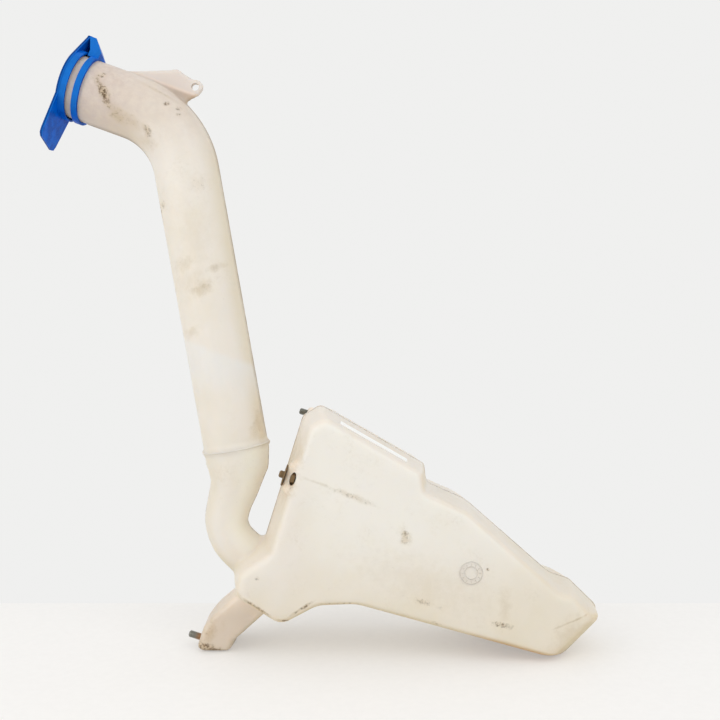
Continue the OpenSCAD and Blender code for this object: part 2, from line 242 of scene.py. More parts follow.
def moulded(corners, depth, edgeRound, inset, steps):
    half = depth / 2 - inset
    edge = max(edgeRound - inset, 1)
    up = [(y, 0) for y in np.linspace(0, half - edge, 5)]
    for k in range(1, steps + 1):
        a = math.pi / 2 * k / steps
        up.append((half - edge + edge * math.sin(a), edge * (1 - math.cos(a))))
    levels = [(-y, e) for y, e in reversed(up[1:])] + up
    rings = []
    for y, extra in levels:
        ring = outlineAt(corners, abs(y) * depth / 2 / half, depth / 2, extra + inset, steps)
        rings.append([(p[0], partingY + y, p[1]) for p in ring])
    return skin(rings)


# filler neck: mouth, elbow and leaning tube, then the narrow pipe
neck = {
    "mouthDiameter": 54,
    "tubeDiameter": 55.4,
    "pipeDiameter": 37,
    "elbowRadius": 70,
    "mouthRise": 20,
    "tubeLean": 9.9,
    "elbowZ": 444,
    "length": 95.5,
    "beadX": 29.5,
    "beadZ": 164,
    "beadWidth": 3.6,
    "pipeSquash": 1.15,
    "sides": 72,
}
pipeRoute = [  # x, z and share of the pipe's radius
    (30.5, 149, 1.45), (28.5, 132, 1.16), (23.5, 115, 1.02), (21, 99.5, 0.99),
    (25.5, 85, 1), (36, 73, 1.02), (52, 60, 1.02), (70, 50, 0.9),
]
mouthAngle = math.radians(180 - neck["mouthRise"])
tubeAngle = math.radians(neck["tubeLean"] - 90)
elbowTurn = math.radians(90 - neck["tubeLean"] - neck["mouthRise"])
mouthR, tubeR, pipeR = (neck[k] / 2 for k in ("mouthDiameter", "tubeDiameter", "pipeDiameter"))


def along(point, angle, distance):
    return np.array(point, float) + distance * np.array([math.cos(angle), math.sin(angle)])


elbowCorner = (neck["beadX"] - (neck["elbowZ"] - neck["beadZ"]) * math.tan(math.radians(neck["tubeLean"])),
               neck["elbowZ"])
rim = along(elbowCorner, mouthAngle, neck["length"])
bead = along(elbowCorner, tubeAngle,
             (neck["elbowZ"] - neck["beadZ"]) / math.cos(math.radians(neck["tubeLean"])))
elbowStart = along(elbowCorner, mouthAngle, neck["elbowRadius"] * math.tan(elbowTurn / 2))
elbowCentre = along(elbowStart, mouthAngle + math.pi / 2, neck["elbowRadius"])


def neckStations():
    stations = []
    for t in np.linspace(0, 1, 6)[:-1]:
        p = rim + t * (elbowStart - rim)
        stations.append((p[0], p[1], mouthR, mouthR))
    for t in np.linspace(0, 1, 25):
        p = along(elbowCentre, mouthAngle - math.pi / 2 - elbowTurn * t, neck["elbowRadius"])
        r = mouthR + (tubeR - mouthR) * t
        stations.append((p[0], p[1], r, r))
    elbowEnd = np.array(stations[-1][:2])
    beadTop = along(bead, tubeAngle, -1.2 * neck["beadWidth"])
    for t in np.linspace(0, 1, 10)[1:]:
        p = elbowEnd + t * (beadTop - elbowEnd)
        stations.append((p[0], p[1], tubeR, tubeR))
    for t in np.linspace(-1, 1, 13):
        p = along(bead, tubeAngle, t * neck["beadWidth"] * 0.9)
        r = tubeR + neck["beadWidth"] / 2 * max(0, math.cos(t * math.pi / 2)) ** 1.4
        stations.append((p[0], p[1], r, r))
    route = [np.array(s, float) for s in pipeRoute]
    for i in range(len(route) - 1):
        a, b, c, d = (route[max(0, min(len(route) - 1, k))] for k in (i - 1, i, i + 1, i + 2))
        for t in np.linspace(0, 1, 9)[:-1]:
            square, cube = 2 * a - 5 * b + 4 * c - d, 3 * b - a - 3 * c + d
            s = (2 * b + (c - a) * t + square * t ** 2 + cube * t ** 3) / 2
            wide = 1 + (neck["pipeSquash"] - 1) * min(1, max(0, (pipeRoute[0][2] - s[2]) / 0.3))
            stations.append((s[0], s[1], s[2] * pipeR, s[2] * pipeR * wide))
    x, z, share = route[-1]
    stations.append((x, z, share * pipeR, share * pipeR * neck["pipeSquash"]))
    return stations


def neckSweep(inset, sides, lead):
    stations = neckStations()
    rings = []
    for i, (x, z, r, wide) in enumerate(stations):
        before, after = stations[max(0, i - 1)], stations[min(len(stations) - 1, i + 1)]
        heading = unit(np.array([after[0] - before[0], after[1] - before[1]]))
        centre = along((x, z), mouthAngle, lead) if i == 0 else np.array([x, z])
        side = rightOf(heading)
        ring = []
        for a in (math.tau * j / sides for j in range(sides)):
            flat = centre + (r - inset) * math.cos(a) * side
            ring.append((flat[0], partingY + (wide - inset) * math.sin(a), flat[1]))
        rings.append(ring)
    return skin(rings)


# flat fin on the elbow, ending in an eye
fin = {
    "outline": [(-46.5, 26), (-46.5, 44.5), (0.5, 46.5), (4, 43.5), (11, 39), (22, 33),
                (17.5, 24), (2, 16), (-10.5, 8)],
    "thick": 5,
    "eye": (15, 31),
    "eyeDiameter": 13,
    "eyeHole": 6.6,
}

finEye = np.array(elbowCorner) + np.array(fin["eye"])


def finBody():
    rings = [[(elbowCorner[0] + x, partingY + s * fin["thick"] / 2, elbowCorner[1] + z)
              for x, z in fin["outline"]] for s in (-1, 1)]
    x, z = finEye
    eye = rod((x, partingY - 3, z), (x, partingY + 3, z), fin["eyeDiameter"] / 2)
    return [skin(rings), eye]


# fixings: the threads point outwards and a little up
outward = Vector((-math.cos(fixRise), 0, math.sin(fixRise)))
fixUp = Vector((math.sin(fixRise), 0, math.cos(fixRise)))
lowerSeat = Vector((0, 0, 0))
middleSeat = Vector((75.7, frontY + 10, tankTop - 55.3))
upperSeat = Vector((89, rearY - 14, tankTop - 10.7))
lug = {"thick": 4.5, "height": 24, "base": 44, "near": 3.5, "far": 19,
       "pocketHeight": 11.5, "pocketLength": 5, "pocketRear": 17}


def lugPoint(depth, rise, y):  # along the fixing's axis from the seat, up across it
    p = middleSeat - outward * depth + fixUp * rise
    return p.x, y, p.z


def lugBlock():  # outer face small, base long and faded into the tank's edge
    half, base = lug["height"] / 2, lug["base"] / 2
    near, far = frontY + lug["near"], frontY + lug["far"]
    points = [lugPoint(0, s * (half - 3), y) for s in (-1, 1) for y in (near + 3, far - 3)]
    points += [lugPoint(1.5, s * half, y) for s in (-1, 1) for y in (near + 1, far)]
    points += [lugPoint(14, s * base, y) for s in (-1, 1) for y in (near, far + 6)]
    return hullOf(points)


def lugWell(grow, front, rear):  # lens-shaped well for the bolt's head
    middle = lug["thick"] + lug["pocketLength"] / 2
    rings = []
    for y in (front, rear):
        ring = []
        for k in range(40):
            a = math.tau * k / 40
            ring.append(lugPoint(middle + (lug["pocketLength"] / 2 + grow) * math.cos(a),
                                 (lug["pocketHeight"] / 2 + grow) * math.sin(a), y))
        rings.append(ring)
    return skin(rings)


pocketRear = frontY + lug["pocketRear"]
upperBoss = {"length": 12, "rootRadius": 7, "radius": 6.5}
bossRoot = upperSeat - outward * upperBoss["length"]
pipeRoot = {  # two balls that fill the join of pipe and tank
    "high": (38, partingY, 71), "highRadius": pipeR - 4,
    "low": (64, partingY, 62), "lowRadius": pipeR + 6,
}
shellParts = [
    moulded(tankCorners, tank["depth"], tank["faceRound"], 0, 8),
    moulded(footCorners, foot["depth"], foot["round"], 0, 5),
    neckSweep(0, neck["sides"], 0),
    hullOf(ball(pipeRoot["high"], pipeRoot["highRadius"]) + ball(pipeRoot["low"], pipeRoot["lowRadius"])),
    lugBlock(),
    rod(bossRoot, upperSeat, upperBoss["rootRadius"], 40, upperBoss["radius"]),
] + finBody()
reservoirShell = joined("reservoirShell", shellParts)
remesh = reservoirShell.modifiers.new("one skin", "REMESH")
remesh.mode = "VOXEL"
remesh.voxel_size = tank["voxel"] * mm
soften = reservoirShell.modifiers.new("fillets", "SMOOTH")
soften.factor = 0.5
soften.iterations = tank["smoothing"]
settle(reservoirShell)

# the lug fades into the tank's edge, and its own face stays as it is
lugFade = {"clear": 10, "clearEnd": 15, "fullEnd": 30, "end": 44, "passes": 24}
lugArea = reservoirShell.vertex_groups.new(name="lugArea")
for vertex in reservoirShell.data.vertices:
    away = (vertex.co / mm - middleSeat).length
    share = min(1, max(0, (away - lugFade["clear"]) / (lugFade["clearEnd"] - lugFade["clear"])))
    share *= min(1, max(0, (lugFade["end"] - away) / (lugFade["end"] - lugFade["fullEnd"])))
    if share > 0:
        lugArea.add([vertex.index], share, "REPLACE")
blendLug = reservoirShell.modifiers.new("lug fillets", "SMOOTH")
blendLug.factor = 0.5
blendLug.iterations = lugFade["passes"]
blendLug.vertex_group = "lugArea"
settle(reservoirShell)
print("shell skin", len(reservoirShell.data.polygons))

# hollow: tank, neck and pocket walls, then the port and the fin's eye
wall = tank["wall"]
hollow = joined("hollow", [moulded(tankCorners, tank["depth"], tank["faceRound"], wall, 4)])
carve(hollow, joined("pocketWalls", [lugWell(wall, frontY - 10, pocketRear + wall)]))
carve(reservoirShell, hollow)
carve(reservoirShell, joined("neckHollow", [neckSweep(wall, 48, 4)]))
carve(reservoirShell, joined("lugPocket", [lugWell(0, frontY - 10, pocketRear)]))
port = {"x": 268, "z": 34, "radius": 12, "reach": 8}
portEnds = [(port["x"], rearY + s * port["reach"], port["z"]) for s in (-1, 1)]
carve(reservoirShell, joined("portHole", [rod(*portEnds, port["radius"], 64)]))
eyeEnds = [(finEye[0], partingY + s * 20, finEye[1]) for s in (-1, 1)]
carve(reservoirShell, joined("eyeHole", [rod(*eyeEnds, fin["eyeHole"] / 2, 40)]))
smoothShade(reservoirShell, 50)
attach(reservoirShell, "tank")
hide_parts("reservoir")
print("shell hollowed", len(reservoirShell.data.polygons))


# material helpers: every mask is worked out from the piece's own coordinates
def linear(red, green, blue):
    def one(c):
        c = c / 255
        return c / 12.92 if c <= 0.04045 else ((c + 0.055) / 1.055) ** 2.4
    return one(red), one(green), one(blue), 1.0


def feed(tree, socket, value):
    if isinstance(value, bpy.types.NodeSocket):
        tree.links.new(value, socket)
    else:
        socket.default_value = value


def maths(tree, operation, a, b=0.0, clamp=False):
    made = tree.nodes.new("ShaderNodeMath")
    made.operation = operation
    made.use_clamp = clamp
    feed(tree, made.inputs[0], a)
    feed(tree, made.inputs[1], b)
    return made.outputs[0]


def product(tree, first, *others):
    for other in others:
        first = maths(tree, "MULTIPLY", first, other)
    return first


def total(tree, first, *others):
    for other in others:
        first = maths(tree, "ADD", first, other)
    return first


def vectorMaths(tree, operation, a, b):
    made = tree.nodes.new("ShaderNodeVectorMath")
    made.operation = operation
    feed(tree, made.inputs[0], a)
    feed(tree, made.inputs[1], b)
    return made.outputs["Value" if operation in ("LENGTH", "DOT_PRODUCT", "DISTANCE") else "Vector"]


def ramp(tree, value, low, high, toLow=0.0, toHigh=1.0):
    made = tree.nodes.new("ShaderNodeMapRange")
    made.interpolation_type = "SMOOTHSTEP"
    feed(tree, made.inputs["Value"], value)
    for key, number in (("From Min", low), ("From Max", high), ("To Min", toLow), ("To Max", toHigh)):
        made.inputs[key].default_value = number
    return made.outputs["Result"]


def grain(tree, where, size, detail=4.0, rough=0.6):  # noise with a feature size in millimetres
    made = tree.nodes.new("ShaderNodeTexNoise")
    feed(tree, made.inputs["Vector"], where)
    made.inputs["Scale"].default_value = 1 / size
    made.inputs["Detail"].default_value = detail
    made.inputs["Roughness"].default_value = rough
    return made.outputs["Fac"]


def tint(tree, share, first, second):
    made = tree.nodes.new("ShaderNodeMix")
    made.data_type = "RGBA"
    feed(tree, made.inputs[0], share)
    feed(tree, made.inputs[6], first)
    feed(tree, made.inputs[7], second)
    return made.outputs[2]


def bumps(tree, height, strength, distance):
    made = tree.nodes.new("ShaderNodeBump")
    made.inputs["Strength"].default_value = strength
    made.inputs["Distance"].default_value = distance * mm
    tree.links.new(height, made.inputs["Height"])
    return made.outputs["Normal"]


def newFinish(name):
    finish = bpy.data.materials.new(name)
    finish.use_nodes = True
    tree = finish.node_tree
    spots = tree.nodes.new("ShaderNodeTexCoord")
    where = vectorMaths(tree, "MULTIPLY", spots.outputs["Object"], (1000, 1000, 1000))
    split = tree.nodes.new("ShaderNodeSeparateXYZ")
    tree.links.new(where, split.inputs[0])
    facing = tree.nodes.new("ShaderNodeSeparateXYZ")
    tree.links.new(spots.outputs["Normal"], facing.inputs[0])
    return finish, tree, tree.nodes["Principled BSDF"], where, split.outputs, facing.outputs


# milky blown plastic, marked by years of road dirt and amber towards the bottom, with painted shade in amber
# on its right flanks, undersides and left bevel, and painted light on the pipe, front face and keel
shellLook = {
    "cream": linear(238, 225, 211),
    "amber": linear(216, 198, 164),
    "paintedGlow": linear(196, 154, 98),
    "rose": linear(205, 187, 176),
    "finPale": linear(205, 199, 195),
    "rinsed": linear(236, 229, 221),
    "paintedFaceLight": linear(250, 241, 227),
    "paintedPipeLight": linear(255, 246, 226),
    "brown": linear(96, 74, 48),
    "tan": linear(190, 168, 134),
    "footGrey": linear(196, 182, 166),
    "seam": linear(140, 122, 96),
    "keelSlope": 0.276,
    "subsurface": 0.5,
    "roughness": 0.42,
}
# marks on the front: x, z, half length, half width, tilt in degrees, halo, specks
marks = [
    (-76.5, 463.5, 15, 4, 113, 0.8, 0.95), (-66, 447, 12, 5, 138, 0.65, 0.35),
    (-41, 432.5, 7, 3.2, 125, 0.6, 0.7), (-54, 441, 14, 4, 145, 0.45, 0.3),
    (-80, 478, 6, 2.5, 20, 0.4, 0.8), (-32.6, 466.7, 21, 1.4, 152, 0.35, 0.3),
    (-41, 424, 9, 5, 150, 0.35, 0.15), (-25, 455.6, 3, 2, 20, 0.3, 0.9),
    (-15, 451.8, 2.4, 2, 0, 0.3, 0.9), (-14.5, 446.4, 2.4, 2, 0, 0.3, 0.8),
    (-33.5, 366, 11, 1.8, 100, 0.5, 0.8), (-29, 372, 4, 3, 100, 0.4, 0.5),
    (4.5, 302, 12, 7, 35, 0.5, 0.2), (6, 303, 4, 3, 35, 0.7, 0.35), (-9, 321, 12, 7, 25, 0.35, 0.1),
    (15.7, 318.5, 8, 3.5, 20, 0.45, 0.2), (-4, 308, 16, 12, 40, 0.22, 0),
    (-5, 263.5, 8, 5, 30, 0.3, 0.15), (50, 188, 12, 5, 80, 0.4, 0.2), (3, 389, 10, 8, 40, 0.2, 0.2),
    (-2, 345, 40, 14, 100, 0.14, 0), (190, 60, 60, 20, 160, 0.16, 0.05),
    (132, 129.6, 19, 2.4, 158, 0.42, 0.55), (103, 141, 15, 1.3, 160, 0.35, 0.15),
    (53.3, 62.6, 1.8, 1.5, 0, 0.2, 0.6), (174, 97.5, 7.5, 4.5, 110, 0.6, 0.6),
    (189.5, 42.8, 14, 2.5, 162, 0.3, 0.5), (242, 70, 1.5, 1.3, 0, 0.2, 0.8),
    (254, 24, 8, 2.6, 170, 0.35, 0.95), (89, 37, 13, 1.3, 33, 0.7, 0.8),
    (74, 27, 6, 1.3, 175, 0.7, 0.8), (121, 41, 16, 1.2, 2, 0.25, 0.45),
    (199.5, 25.5, 5, 1.3, 160, 0.25, 0.7), (240, 8, 4, 1.6, 150, 0.35, 0.9),
    (258.5, 2.5, 6, 1.7, 170, 0.4, 0.95), (8, -3, 14, 4.5, 160, 0.8, 0.9),
    # (311.7, 27) is a painted shade line along the nose's crease; (307, 17) is painted shade on the facet
    # below it
    (10, 8, 15, 5, 72, 0.6, 0.35), (256, 40, 15, 5, 92, 0.3, 0), (311.7, 27, 16, 1.1, 23, 0.7, 0.15),
    (307, 17, 20, 8, 47, 0.3, 0), (50.7, 39.2, 16, 1.8, 146, 0.95, 0.8),
    (78, 147, 24, 9, 72, 0.5, 0.15), (81, 140, 16, 3.5, 70, 0.6, 0.3),
]


def markShape(tree, where, x, z, length, width, tilt):
    turned = tree.nodes.new("ShaderNodeMapping")
    turned.vector_type = "TEXTURE"
    feed(tree, turned.inputs["Vector"], where)
    turned.inputs["Location"].default_value = (x, frontY, z)
    turned.inputs["Rotation"].default_value = (0, -math.radians(tilt), 0)
    turned.inputs["Scale"].default_value = (length, 400, width)
    return vectorMaths(tree, "LENGTH", turned.outputs[0], (0, 0, 0))


def amberAndPaintedShade(tree, axis, facing, blotch):  # amber on right-facing flanks, on undersides and on the left bevel is painted shade; amber also grows towards the bottom and the right, and in random blotches
    # painted shade: flanks that turn away from the front and to the right, but not up, go amber
    side = product(tree, ramp(tree, facing["Y"], -0.95, -0.3), ramp(tree, facing["X"], -0.3, 0.8, 0.1, 0.6),
                   ramp(tree, facing["Z"], 0.1, 0.75, 1, 0))
    low = product(tree, ramp(tree, axis["X"], 40, 330, 0.25, 1), ramp(tree, axis["Z"], 150, 0, 0, 0.45))
    # painted shade: surfaces facing down go amber
    shadedUnder = ramp(tree, facing["Z"], -0.25, -0.95, 0, 0.55)
    # painted shade: left-facing surfaces low on the tank go amber
    shadedLeft = product(tree, ramp(tree, facing["X"], -0.35, -0.8, 0, 0.2), ramp(tree, axis["Z"], 190, 165))
    amberShare = total(tree, side, low, shadedUnder, shadedLeft)
    amberShare = maths(tree, "ADD", amberShare, ramp(tree, blotch, 0.35, 0.7, -0.08, 0.2), clamp=True)
    return tint(tree, amberShare, shellLook["cream"], shellLook["amber"])


def neckTints(tree, colour, axis, overNeck, ragged):  # pale fin and rosy mouth end
    onFin = ramp(tree, overNeck, mouthR - 1, mouthR + 3, 0, 0.8)
    colour = tint(tree, onFin, colour, shellLook["finPale"])
    mouthEnd = total(tree, ramp(tree, axis["Z"], 395, 465, 0, 0.6), ramp(tree, axis["X"], -35, -80, 0, 0.35))
    mouthEnd = product(tree, mouthEnd, ramp(tree, ragged, 0.3, 0.7, 0.7, 1.1),
                       ramp(tree, overNeck, mouthR - 1, mouthR + 3, 1, 0.15))
    return tint(tree, mouthEnd, colour, shellLook["rose"])


def bodyTintsAndPaintedLight(tree, colour, axis, facing):  # rinsed tube and grey foot, plus painted light: a lit pipe side, a lit front face and an amber glow along the keel
    tideLine = total(tree, axis["Z"], maths(tree, "MULTIPLY", axis["X"], 0.4))
    rinsed = product(tree, ramp(tree, tideLine, 258, 250), ramp(tree, axis["Z"], 200, 238, 0, 0.65))
    colour = tint(tree, rinsed, colour, shellLook["rinsed"])
    # painted light: the right-facing side of the pipe is lightened
    litPipeSide = product(tree, ramp(tree, facing["X"], -0.1, 0.8), ramp(tree, axis["X"], 68, 58),
                       ramp(tree, axis["Z"], 172, 162), ramp(tree, axis["Z"], 62, 78, 0, 0.95))
    colour = tint(tree, litPipeSide, colour, shellLook["paintedPipeLight"])
    # painted light: surfaces facing the front are lightened on the tank's face
    litFace = product(tree, ramp(tree, facing["Y"], -0.75, -0.97), ramp(tree, axis["X"], 75, 110),
                       ramp(tree, axis["Z"], 45, 110, 0.12, 0.6))
    colour = tint(tree, litFace, colour, shellLook["paintedFaceLight"])
    footEnd = product(tree, ramp(tree, axis["X"], 62, 40), ramp(tree, axis["Z"], 45, 20, 0, 0.62))
    colour = tint(tree, footEnd, colour, shellLook["footGrey"])
    keel = total(tree, axis["Z"], maths(tree, "MULTIPLY", axis["X"], shellLook["keelSlope"]))
    # painted glow: an amber band along the tank's lower edge stands in for light through the plastic
    paintedGlow = product(tree, ramp(tree, axis["X"], 205, 262), ramp(tree, keel, 82.5, 76, 0, 0.95),
                   ramp(tree, axis["X"], 330, 312))
    return tint(tree, paintedGlow, colour, shellLook["paintedGlow"])


def seamDirtAndFlankShade(tree, colour, axis, overNeck, blotch, ragged):  # dirt along the mould's line, and painted shade along the tube's flanks
    fromSeam = maths(tree, "ABSOLUTE", maths(tree, "SUBTRACT", axis["Y"], partingY))
    seam = product(tree, ramp(tree, fromSeam, 0.9, 0.5), ramp(tree, ragged, 0.3, 0.65, 0.1, 0.6))
    colour = tint(tree, seam, colour, shellLook["seam"])
    aboveBead = ramp(tree, axis["Z"], neck["beadZ"] + 2, neck["beadZ"] + 30)
    # painted shade: the tube's flanks, near its outline, are darkened
    flankShade = product(tree, ramp(tree, fromSeam, 9, 2.5), ramp(tree, blotch, 0.3, 0.6, 0.25, 0.5), aboveBead,
                    ramp(tree, axis["X"], 75, 64), ramp(tree, overNeck, mouthR - 2, mouthR + 1, 1, 0))
    return tint(tree, flankShade, colour, shellLook["seam"])


def roadDirtAndCreaseShade(tree, colour, where, axis, fine, specks, ragged):  # tan smears and brown specks on the front, and two marks of painted shade at the nose's crease
    haze = product(tree, ramp(tree, grain(tree, where, 25, 6, 0.7), 0.5, 0.75), ramp(tree, fine, 0.4, 0.65))
    halo = maths(tree, "MULTIPLY", haze, 0.2)
    dots = ramp(tree, specks, 0.72, 0.8, 0, 0.15)
    front = ramp(tree, axis["Y"], partingY + 6, partingY - 2)
    for x, z, length, width, tilt, soft, dark in marks:
        reachOut = markShape(tree, where, x, z, length, width, tilt)
        uneven = total(tree, reachOut, ramp(tree, ragged, 0.25, 0.75, -0.45, 0.6))
        inside = ramp(tree, uneven, 0.2, 1.3, 1, 0)
        halo = maths(tree, "MAXIMUM", halo, ramp(tree, uneven, -0.2, 1.6, soft, 0))
        spotty = ramp(tree, specks, 0.6 - 0.22 * dark, 0.78 - 0.2 * dark, 0, dark)
        dots = maths(tree, "MAXIMUM", dots, product(tree, inside, spotty))
    colour = tint(tree, product(tree, halo, front), colour, shellLook["tan"])
    dots = product(tree, dots, front)
    return tint(tree, dots, colour, shellLook["brown"]), dots


def creamPlastic():
    finish, tree, shader, where, axis, facing = newFinish("milkyPlastic")
    blotch = grain(tree, where, 60, 3, 0.5)
    fine = grain(tree, where, 3, 5, 0.7)
    specks = grain(tree, where, 2.4, 3, 0.6)
    ragged = grain(tree, where, 7, 5, 0.7)
    rise = math.radians(neck["mouthRise"])
    acrossNeck = (math.sin(rise), 0, math.cos(rise))
    neckLevel = elbowCorner[0] * math.sin(rise) + elbowCorner[1] * math.cos(rise)
    overNeck = maths(tree, "SUBTRACT", vectorMaths(tree, "DOT_PRODUCT", where, acrossNeck), neckLevel)
    colour = amberAndPaintedShade(tree, axis, facing, blotch)
    colour = neckTints(tree, colour, axis, overNeck, ragged)
    colour = bodyTintsAndPaintedLight(tree, colour, axis, facing)
    colour = seamDirtAndFlankShade(tree, colour, axis, overNeck, blotch, ragged)
    colour, dots = roadDirtAndCreaseShade(tree, colour, where, axis, fine, specks, ragged)
    feed(tree, shader.inputs["Base Color"], colour)
    sheen = ramp(tree, fine, 0.3, 0.7, shellLook["roughness"] - 0.06, shellLook["roughness"] + 0.08)
    feed(tree, shader.inputs["Roughness"], total(tree, sheen, maths(tree, "MULTIPLY", dots, 0.3)))
    feed(tree, shader.inputs["Normal"], bumps(tree, total(tree, fine, blotch), 0.12, 0.5))
    shader.inputs["Subsurface Weight"].default_value = shellLook["subsurface"]
    shader.inputs["Subsurface Radius"].default_value = (1.0, 0.8, 0.6)
    shader.inputs["Subsurface Scale"].default_value = 0.01
    shader.inputs["IOR"].default_value = 1.5
    return finish


shellFinish = creamPlastic()
wearFinish(reservoirShell, shellFinish)

# raised line that the mould's two halves leave round the tank and along the neck
ridge = {"width": 1.1, "crown": 0.4, "rise": 0.45, "root": 0.6, "clearOfCap": 22}


def ridgeStrip(path, normals):
    rings = []
    for p, n in zip(path, normals):
        ring = []
        for side, out in ((-1, -ridge["root"]), (1, -ridge["root"]), (ridge["crown"], ridge["rise"]),
                          (-ridge["crown"], ridge["rise"])):
            flat = p + out * n
            ring.append((flat[0], partingY + side * ridge["width"] / 2, flat[1]))
        rings.append(ring)
    return skin(rings)


def tankRidge():  # from above the pipe's root, over the top and the nose, back to the foot
    steps = 8
    outline = outlineAt(tankCorners, 0, tank["depth"] / 2, 0, steps)
    outline = outline[15 * (steps + 1) + 6:] + outline[:13 * (steps + 1) - 3]
    normals = []
    for i in range(len(outline)):
        travel = unit(outline[min(i + 1, len(outline) - 1)] - outline[max(i - 1, 0)])
        normals.append(-rightOf(travel))
    return ridgeStrip(outline, normals)


def neckRidge(side):
    stations = [np.array(s) for s in neckStations()]
    stations = [s for s in stations[:-12] if np.linalg.norm(s[:2] - rim) > ridge["clearOfCap"]]
    path, normals = [], []
    for i, s in enumerate(stations):
        travel = unit(stations[min(i + 1, len(stations) - 1)][:2] - stations[max(i - 1, 0)][:2])
        normals.append(side * rightOf(travel))
        path.append(s[:2] + s[2] * normals[-1])
    return ridgeStrip(path, normals)


partingRidge = joined("partingRidge", [tankRidge(), neckRidge(1), neckRidge(-1)])
smoothShade(partingRidge, 40)

# crisp crest of the ring bead, square to the tube
crest = {"round": 1.3, "sides": 96, "steps": 10}


def beadCrest():
    heading, out = np.array([math.cos(tubeAngle), math.sin(tubeAngle)]), crest["round"]
    side = rightOf(heading)
    verts, faces = [], []
    count, steps = crest["sides"], crest["steps"]
    for j in range(count):
        a = math.tau * j / count
        for k in range(steps):
            b = math.tau * k / steps
            r = tubeR + neck["beadWidth"] / 2 - out + out * math.cos(b)
            flat = bead + r * math.cos(a) * side + out * math.sin(b) * heading
            verts.append((flat[0], partingY + r * math.sin(a), flat[1]))
    for j in range(count):
        n = (j + 1) % count
        for k in range(steps):
            m = (k + 1) % steps
            faces.append([j * steps + k, n * steps + k, n * steps + m, j * steps + m])
    return verts, faces


tubeBead = joined("tubeBead", [beadCrest()])
smoothShade(tubeBead)

# plain mould dial on the front face: two rings and ticks
dial = {"x": 228.5, "z": 66.7, "outer": 9.2, "inner": 5.2, "line": 1.1, "rise": 0.22, "ticks": 12,
        "tickGap": 1.2, "tickRadius": 0.35}


def dialRing(radius):
    verts, faces = [], []
    sides = 72
    half, rise = dial["line"] / 2, dial["rise"]
    profile = ((-half, 0.4), (-half / 2, -rise), (half / 2, -rise), (half, 0.4))
    for k in range(sides):
        a = math.tau * k / sides
        for step, y in profile:
            r = radius + step
            verts.append((dial["x"] + r * math.cos(a), frontY + y, dial["z"] + r * math.sin(a)))
    for k in range(sides):
        n = (k + 1) % sides
        for j in range(4):
            m = (j + 1) % 4
            faces.append([4 * k + j, 4 * n + j, 4 * n + m, 4 * k + m])
    return verts, faces


def dialTick(angle):
    ends = []
    for r in (dial["inner"] + dial["tickGap"], dial["outer"] - dial["tickGap"]):
        ends.append((dial["x"] + r * math.cos(angle), frontY + 0.1, dial["z"] + r * math.sin(angle)))
    return rod(*ends, dial["tickRadius"], 8)


mouldDial = joined("mouldDial", [dialRing(dial["outer"]), dialRing(dial["inner"])]
                   + [dialTick(math.tau * k / dial["ticks"]) for k in range(dial["ticks"])])
smoothShade(mouldDial, 40)
for piece in (partingRidge, tubeBead, mouldDial):
    wearFinish(piece, shellFinish)
    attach(piece, "tank")
print("ridge and dial raised")

# flip cap: ring with a strap, film hinge and lid
capLook = {
    "blue": linear(0, 96, 202),
    "paleAndLit": linear(30, 112, 192),
    "deep": linear(0, 60, 150),
    "edge": linear(4, 56, 124),
    "roughness": 0.28,
}
mouthOut = Vector((math.cos(mouthAngle), 0, math.sin(mouthAngle)))
rimCentre = Vector((rim[0], partingY, rim[1]))


def bluePlastic():
    finish, tree, shader, where, axis, facing = newFinish("bluePlastic")
    cloud = grain(tree, where, 9, 4, 0.6)
    fine = grain(tree, where, 1.6, 5, 0.7)
    colour = tint(tree, ramp(tree, cloud, 0.4, 0.62, 0, 0.6), capLook["blue"], capLook["deep"])
    # painted light: faces turned to the front are paler; the fine flecks below are random tone
    colour = tint(tree, ramp(tree, facing["Y"], -0.3, -0.9, 0, 0.7), colour, capLook["paleAndLit"])
    colour = tint(tree, ramp(tree, fine, 0.55, 0.8, 0, 0.35), colour, capLook["paleAndLit"])
    fromMouth = vectorMaths(tree, "DOT_PRODUCT", where, tuple(mouthOut))
    beyondRim = maths(tree, "SUBTRACT", fromMouth, rimCentre.dot(mouthOut))
    outwards = total(tree, maths(tree, "MULTIPLY", facing["X"], mouthOut.x),
                     maths(tree, "MULTIPLY", facing["Z"], mouthOut.z))
    shadedLidRim = product(tree, ramp(tree, beyondRim, 0.6, 1.2, 0, 0.85), ramp(tree, outwards, 0.9, 0.6))
    colour = tint(tree, shadedLidRim, colour, capLook["edge"])  # painted shade on the lid's edge faces
    feed(tree, shader.inputs["Base Color"], colour)
    feed(tree, shader.inputs["Roughness"],
         ramp(tree, fine, 0.3, 0.75, capLook["roughness"] - 0.05, capLook["roughness"] + 0.14))
    feed(tree, shader.inputs["Normal"], bumps(tree, fine, 0.1, 0.3))
    shader.inputs["Specular IOR Level"].default_value = 0.035
    shader.inputs["Subsurface Weight"].default_value = 0.12
    shader.inputs["Subsurface Radius"].default_value = (0.2, 0.5, 1.0)
    shader.inputs["Subsurface Scale"].default_value = 0.002
    return finish


capFinish = bluePlastic()
for nodeName, softness in (("cap_ring", 0.6), ("cap_lid", 0.55)):
    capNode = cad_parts[nodeName]
    wearFinish(capNode, capFinish)
    bevelEdges(capNode, softness)

# thin film that joins the strap's top to the lid
hinge = {"reach": 42, "width": 20, "film": 0.5, "roll": 13, "low": -2.2, "high": 2.8,
         "stand": 1.05, "bow": 0.3, "bendLow": -0.4, "bendHigh": 1.4}
mouthUp = Vector((math.sin(math.radians(neck["mouthRise"])), 0, math.cos(math.radians(neck["mouthRise"]))))
roll = math.radians(hinge["roll"])
toHinge = mouthUp * math.cos(roll) + Vector((0, 1, 0)) * math.sin(roll)
hingeAxis = Vector((0, 1, 0)) * math.cos(roll) - mouthUp * math.sin(roll)


